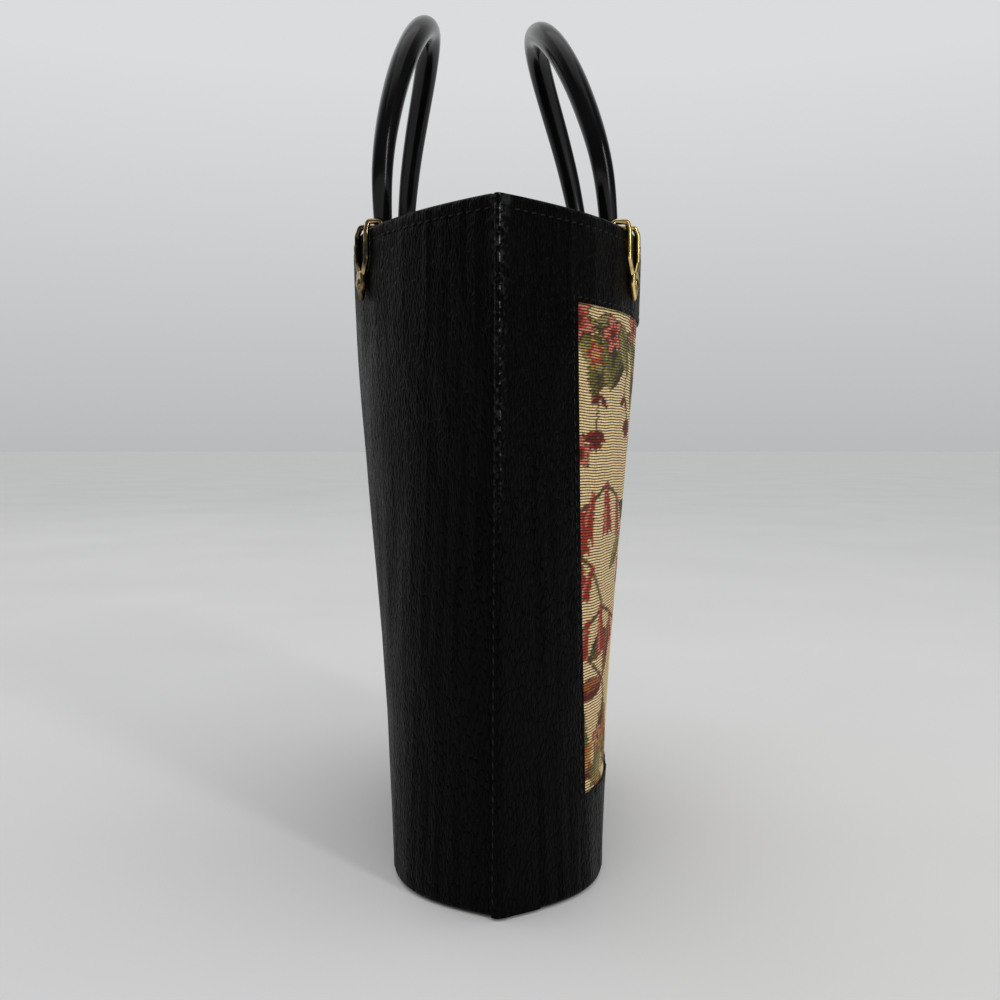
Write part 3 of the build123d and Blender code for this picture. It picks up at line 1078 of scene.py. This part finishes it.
def make_handle(side):
    """A curve with a round section, made a mesh and leant about its pins."""
    knots = handle_knots()
    curve, spline, points = blank_curve(f"{side}_handle_moulding", "BEZIER", len(knots))
    curve.dimensions = "3D"
    for point, (place, before, after) in zip(points, knots):
        point.handle_left_type = point.handle_right_type = "FREE"
        point.co = place
        point.handle_left = place - before
        point.handle_right = place + after
        point.radius = handle_radius(place.z) / handle_top_radius
    handle = finish_curve(curve, 18, handle_top_radius, 10)
    round_edges(handle, 0.0012, 4, 50)
    lean = Matrix.Rotation(radians(handle_lean[side]), 4, "X")
    stand = Matrix.Translation((0, handle_reach[side], height - pin_below_rim))
    flip = Matrix.Scale(-1, 4, (0, 1, 0)) if side == "front" else Matrix.Identity(4)
    handle.data.transform(flip @ stand @ lean)
    if side == "front":
        handle.data.flip_normals()
    smooth(handle, 40)
    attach(handle, f"{side}_handle")
    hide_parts(f"{side}_handle")
    return handle


handle_black, handle_haze = (0.0012, 0.0012, 0.0013), (0.0025, 0.0025, 0.0027)


def make_handle_material():
    """Glossy plastic, a little hazy and finely scratched where hands hold it."""
    material, tree = new_material("black_plastic")
    haze = noise(tree, object_place(tree), 65.0, 5.0)
    scratch = noise(tree, object_place(tree, (1.0, 1.0, 0.12)), 1700.0)
    inputs = {
        "Base Color": ramp(tree, haze, [(0.3, handle_black), (0.75, handle_haze)]),
        "Roughness": ramp(tree, haze, [(0.35, 0.16), (0.7, 0.22)]),
        "Specular IOR Level": 0.28,
        "Normal": fine_bumps(tree, scratch, 0.02, 0.0001),
    }
    return finish_material(material, inputs)


handle_material = make_handle_material()
for side in ("front", "back"):
    dress(make_handle(side), handle_material)

# Clips. Two brass wires hook over the rim and run down the outside into one pointed boss, which
# a rivet holds to the wall. Inside, each wire ends in an eye, and a pin joins the two.

wire_radius = 0.0011
wire_plating = 0.0002
wire_spacing = 0.0135
wire_gap = 0.0003
wire_bend = 0.0020
hoop_rise = 0.0014
hoop_foot = 0.001
crown_start = 0.12
wire_straight = 0.014
wire_meet = 0.0213
wire_meet_spacing = 0.0036
eye_radius = 0.0016
boss_below_rim = 0.0248
boss_half_width = 0.0043
boss_point = 0.0068
boss_neck = 0.0055
boss_neck_half = 0.0032
boss_thickness = 0.0029
boss_bevel = 0.0010
boss_leaf = ((0.72, -0.62), (1, 0), (0.86, 0.75))
hand_way = {"left": -1, "right": 1}


def off_wall(side, x, z, off):
    """A point off the outside of the wall, square to it."""
    return wall(side, share_at(x, z), z) + wall_ways(side, x, z)[0] * off


def seat_on_wall(side, x, z, off):
    """Turns a piece that lies flat, with its top along Y, to sit square off the wall."""
    outward, upward = wall_ways(side, x, z)
    turn = Matrix((upward.cross(outward), upward, outward)).transposed().to_4x4()
    return Matrix.Translation(off_wall(side, x, z, off)) @ turn


def soften(route, bend):
    """Two points near each corner in place of the corner itself."""
    points = [route[0]]
    for before, corner, after in zip(route, route[1:], route[2:]):
        reach_in = min(bend, (before - corner).length * 0.45)
        reach_out = min(bend, (after - corner).length * 0.45)
        points.append(corner + (before - corner).normalized() * reach_in)
        points.append(corner)
        points.append(corner + (after - corner).normalized() * reach_out)
    return points + [route[-1]]


def make_wire(route):
    """A round wire along a route with softened corners."""
    route = soften(route, wire_bend * 1.3)
    curve, spline, points = blank_curve("wire", "NURBS", len(route))
    curve.dimensions = "3D"
    for point, place in zip(points, route):
        point.co = (*place, 1)
    spline.order_u = 3
    spline.use_endpoint_u = True
    return finish_curve(curve, 8, wire_radius + wire_plating, 5)


def make_eye(x, y, z):
    deselect_all()
    bpy.ops.mesh.primitive_cylinder_add(
        vertices=32, radius=eye_radius, depth=2 * wire_radius, location=(0, 0, 0)
    )
    eye = bpy.context.object
    round_edges(eye, 0.0005, 3)
    eye.data.transform(Matrix.Translation((x, y, z)) @ Matrix.Rotation(pi / 2, 4, "Y"))
    return eye


def make_boss(side, x):
    """A leaf-shaped plate with a rounded face: a flat curve, filled, bevelled and made a mesh."""
    w, n = boss_half_width - boss_bevel, boss_neck_half - boss_bevel
    half = [(w * across, w * up) for across, up in boss_leaf] + [(n, boss_neck - boss_bevel)]
    point_low, neck_top = (0, -boss_point + boss_bevel), (0, boss_neck - boss_bevel * 0.6)
    outline = [point_low, *half, neck_top, *((-px, py) for px, py in reversed(half))]
    curve, spline, points = blank_curve("boss", "BEZIER", len(outline))
    spline.use_cyclic_u = True
    for i, (point, (px, py)) in enumerate(zip(points, outline)):
        point.co = (px, py, 0)
        point.handle_left_type = point.handle_right_type = "VECTOR" if i == 0 else "AUTO"
    curve.dimensions = "2D"
    curve.fill_mode = "BOTH"
    curve.extrude = boss_thickness / 2 - boss_bevel
    boss = finish_curve(curve, 8, boss_bevel, 4)
    off = wire_gap + boss_thickness / 2
    boss.data.transform(seat_on_wall(side, x, height - boss_below_rim, off))
    return boss


def make_clip(side, hand):
    x = clip_spread * hand_way[hand]
    y = facing[side] * handle_reach[side]
    off = wire_radius + wire_gap
    crown = height + off + hoop_rise
    parts = [make_boss(side, x)]
    for way in (-1, 1):
        wire_x = x + way * wire_spacing / 2
        outer_y = off_wall(side, wire_x, height - wire_bend, off).y
        meet_x = x + way * wire_meet_spacing / 2
        shoulder = crown_start * (outer_y - y)
        hoop = [
            (y, height - pin_below_rim),
            (y, height - hoop_foot),
            (y + shoulder, crown),
            (outer_y - shoulder, crown),
            (outer_y, height - hoop_foot),
        ]
        route = [Vector((wire_x, *place)) for place in hoop]
        route.append(off_wall(side, wire_x, height - wire_straight, off))
        route.append(off_wall(side, meet_x, height - wire_meet, off))
        parts.append(make_wire(route))
        parts.append(make_eye(wire_x, y, height - pin_below_rim))
    clip = join(f"{side}_{hand}_clip_wires", parts)
    smooth(clip, 40)
    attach(clip, "bag")
    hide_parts(f"{side}_{hand}_clip")
    return clip


rivet_radius, rivet_dome, rivet_stretch = 0.0024, 0.45, 1.25
rivet_sink = 0.0001
tail_radius, tail_thickness, tail_stand = 0.0019, 0.0006, 0.0011


def make_rivet(side, hand):
    """A domed head on the boss and a clenched tail on the washer inside."""
    x = clip_spread * hand_way[hand]
    z = height - boss_below_rim
    deselect_all()
    bpy.ops.mesh.primitive_uv_sphere_add(segments=32, ring_count=16, radius=rivet_radius)
    head = bpy.context.object
    for vertex in head.data.vertices:
        vertex.co.z *= rivet_dome
        vertex.co.y *= rivet_stretch
    head.data.transform(seat_on_wall(side, x, z, wire_gap + boss_thickness - rivet_sink))
    deselect_all()
    bpy.ops.mesh.primitive_cylinder_add(vertices=32, radius=tail_radius, depth=tail_thickness)
    tail = bpy.context.object
    tail.data.transform(seat_on_wall(side, x, z, -wall_thickness[side] - tail_stand))
    rivet = join(f"{side}_{hand}_rivet_head", [head, tail])
    smooth(rivet, 40)
    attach(rivet, "bag")
    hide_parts(f"{side}_{hand}_clip_rivet")
    return rivet


def make_brass_material(name, bright, tarnish, amount):
    """Plated brass, with brown tarnish that gathers in patches."""
    material, tree = new_material(name)
    patch = noise(tree, object_place(tree), 190.0, 1.0)
    mask = ramp(tree, patch, [(amount - 0.12, 0.0), (amount + 0.12, 1.0)])
    inputs = {
        "Base Color": mix(tree, mask, tarnish, bright),
        "Roughness": ramp(tree, mask, [(0.0, 0.36), (1.0, 0.14)]),
        "Metallic": 1.0,
        "Normal": fine_bumps(tree, patch, 0.03, 0.0001),
    }
    return finish_material(material, inputs)


bright_brass = make_brass_material("bright_brass", (0.88, 0.66, 0.26), (0.50, 0.30, 0.10), 0.40)
# The back clips get a darker copy of the same brass: partly tarnish, partly painted shade.
dark_brass = make_brass_material("dark_brass", (0.50, 0.36, 0.15), (0.03, 0.02, 0.011), 0.53)
rivet_brass = make_brass_material("rivet_brass", (0.42, 0.30, 0.14), (0.07, 0.05, 0.03), 0.52)


def make_steel_material():
    material, tree = new_material("plain_steel")
    brushed = noise(tree, object_place(tree), 800.0, 3.0)
    inputs = {
        "Base Color": ramp(tree, brushed, [(0.3, (0.45, 0.45, 0.46)), (0.7, (0.62, 0.62, 0.63))]),
        "Roughness": ramp(tree, brushed, [(0.3, 0.28), (0.7, 0.42)]),
        "Metallic": 1.0,
    }
    return finish_material(material, inputs)


steel = make_steel_material()
for side in facing:
    for hand in hand_way:
        # Front clips get the bright brass, back clips the darker copy with its painted shade.
        dress(make_clip(side, hand), bright_brass if side == "front" else dark_brass)
        dress(make_rivet(side, hand), rivet_brass)
        dress(nodes[f"{side}_{hand}_handle_pin"], steel)
        dress(nodes[f"{side}_{hand}_rivet_washer"], steel)

# Studio. A plain pale floor with a soft light from each side and one from above, inside a pale
# surround that is brightest behind and above. The camera is low in front of one pointed end.

deselect_all()
bpy.ops.mesh.primitive_plane_add(size=80, location=(0, 0, -0.0001))
floor = bpy.context.object
floor.name = "floor"


def make_floor_material():
    material, tree = new_material("pale_floor")
    tone = noise(tree, object_place(tree), 3.0)
    inputs = {
        "Base Color": ramp(tree, tone, [(0.3, (0.69, 0.69, 0.68)), (0.7, (0.72, 0.72, 0.71))]),
        "Roughness": 0.8,
        "Specular IOR Level": 0.1,
    }
    return finish_material(material, inputs)


dress(floor, make_floor_material())


def add_softbox(name, place, size, power):
    bpy.ops.object.light_add(type="AREA", location=place)
    lamp = bpy.context.object
    lamp.name = name
    lamp.data.shape = "RECTANGLE"
    lamp.data.size, lamp.data.size_y = size
    lamp.data.energy = power
    aim = Vector((0, 0, 0.2)) - Vector(place)
    lamp.rotation_euler = aim.to_track_quat("-Z", "Y").to_euler()
    return lamp


add_softbox("window_light", (-1.15, -0.95, 0.66), (0.16, 1.3), 7)
add_softbox("side_light", (1.5, 1.3, 1.7), (1.6, 1.6), 3)
add_softbox("top_light", (-0.2, 0.0, 1.9), (1.4, 1.4), 4)

world = bpy.data.worlds.new("studio")
bpy.context.scene.world = world
world.use_nodes = True


surround_tint, surround_even = (0.93, 0.94, 0.95, 1), 0.78
bright_way, gloss_span = (0.85, 0.22, 0.75), (0.48, 0.92, 0.10, 0.85)
seen_span = (-0.01, 0.34, 0.52, 0.76)


def light_surround(tree):
    """One strength for what the camera sees, one for what gloss reflects, one for the rest."""
    rays = add(tree, "ShaderNodeLightPath").outputs
    towards = add(tree, "ShaderNodeTexCoord").outputs["Generated"]
    ways = {0: towards, 1: bright_way}
    facing_bright = add(tree, "ShaderNodeVectorMath", ways, operation="DOT_PRODUCT")
    mirrored = rescale(tree, facing_bright.outputs["Value"], *gloss_span)
    upwards = add(tree, "ShaderNodeSeparateXYZ", {0: towards}).outputs["Z"]
    seen = rescale(tree, upwards, *seen_span)
    sides = {"Factor": rays["Is Camera Ray"], "A": surround_even, "B": seen}
    plain = add(tree, "ShaderNodeMix", sides).outputs["Result"]
    sides = {"Factor": rays["Is Glossy Ray"], "A": plain, "B": mirrored}
    strength = add(tree, "ShaderNodeMix", sides).outputs["Result"]
    feed(tree, tree.nodes["Background"], {"Color": surround_tint, "Strength": strength})


light_surround(world.node_tree)

camera_place = Vector((-0.5305, 0.0029, 0.1990))
camera_forward = Vector((0.9985, -0.0082, -0.0532))
bpy.ops.object.camera_add(location=camera_place)
camera = bpy.context.object
camera.rotation_euler = camera_forward.to_track_quat("-Z", "Y").to_euler()
camera.data.sensor_width = 36
camera.data.lens = 36
camera.data.clip_start = 0.01
bpy.context.scene.camera = camera
bpy.context.scene.view_settings.view_transform = "Standard"
